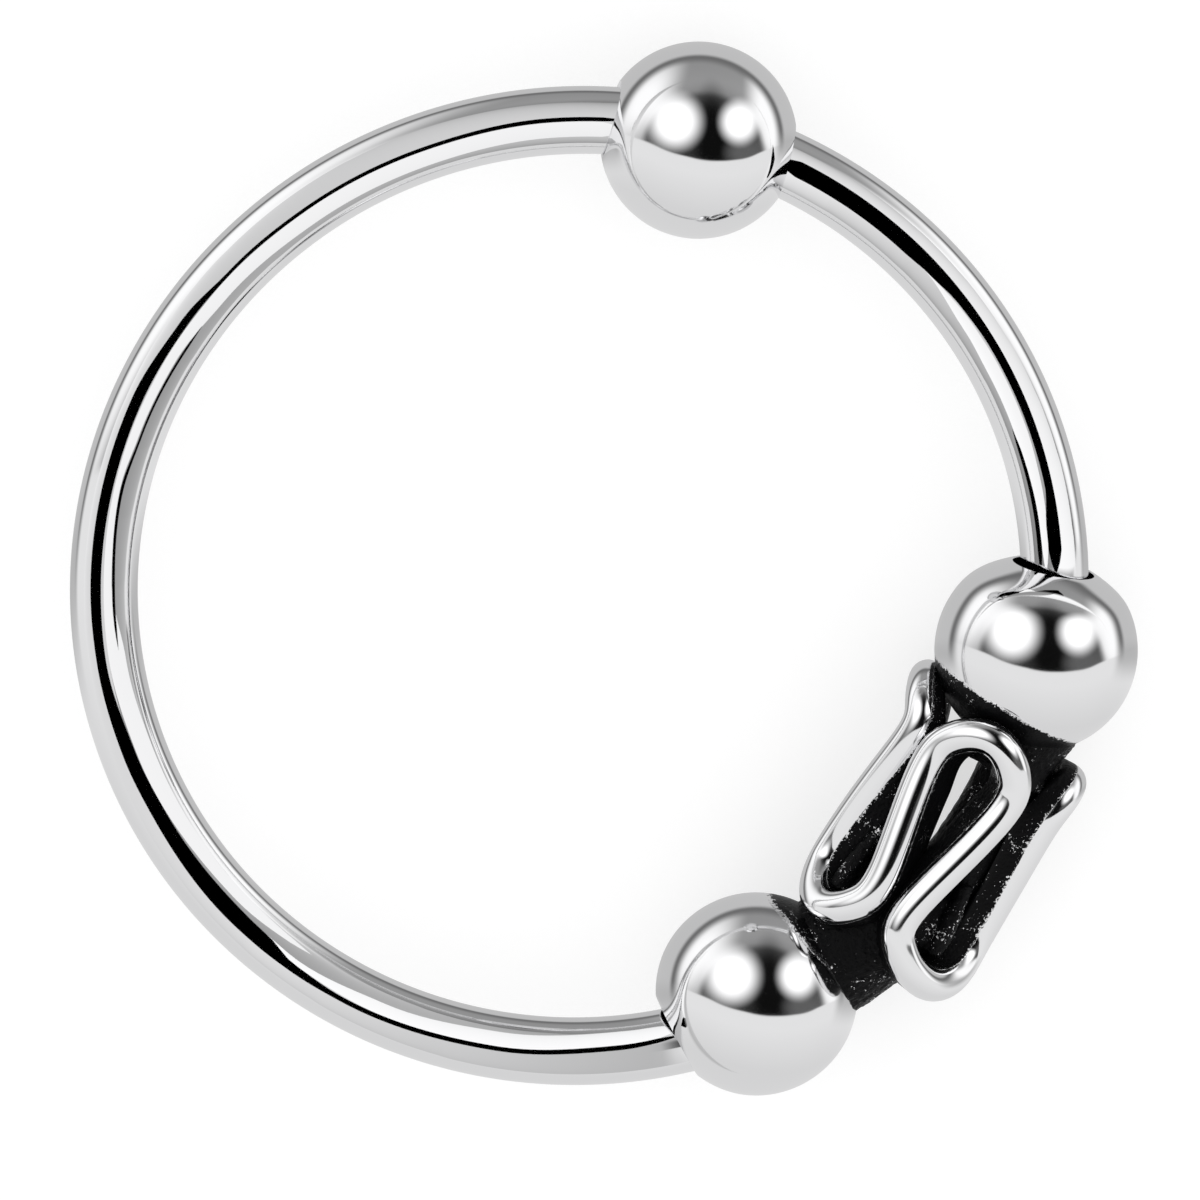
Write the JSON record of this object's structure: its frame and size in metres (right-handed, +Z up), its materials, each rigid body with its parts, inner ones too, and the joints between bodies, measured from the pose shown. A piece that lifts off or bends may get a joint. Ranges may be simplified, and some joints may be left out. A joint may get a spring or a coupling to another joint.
{
  "type": "captive bead ring with a sliding ornament",
  "caption": "Hoop of round wire held shut by a captive bead, carrying a sliding ornament made of beads joined by an open cage of blackened scroll wire.",
  "frame": {"origin": "the hoop's centre, on the surface that the beads rest on", "axes": "+Z up from that surface, square to the hoop; angles round the hoop run from +X towards +Y, with the closure bead at 75.6 degrees"},
  "size_m": [0.0157, 0.0157, 0.003],
  "materials": {
    "polished_steel_wire": "polished",
    "polished_steel_bead": "polished",
    "polished_silver": "polished",
    "blackened_silver": "matte"
  },
  "bodies": {
    "ring": {"ring_wire": "polished_steel_wire"},
    "closure_bead": {"closure_bead": "polished_steel_bead"},
    "slider": {"slider": "polished_silver"}
  },
  "joints": [
    {"name": "closure_bead_spin", "type": "hinge", "parent": "ring", "child": "closure_bead", "pos_m": [0.00172, 0.00669, 0.00145], "axis": [-0.9686, 0.2487, 0], "continuous": true},
    {"name": "slider_slide", "type": "hinge", "parent": "ring", "child": "slider", "pos_m": [0, 0, 0.00145], "axis": [0, 0, 1], "range_deg": [-192, 58]}
  ]
}
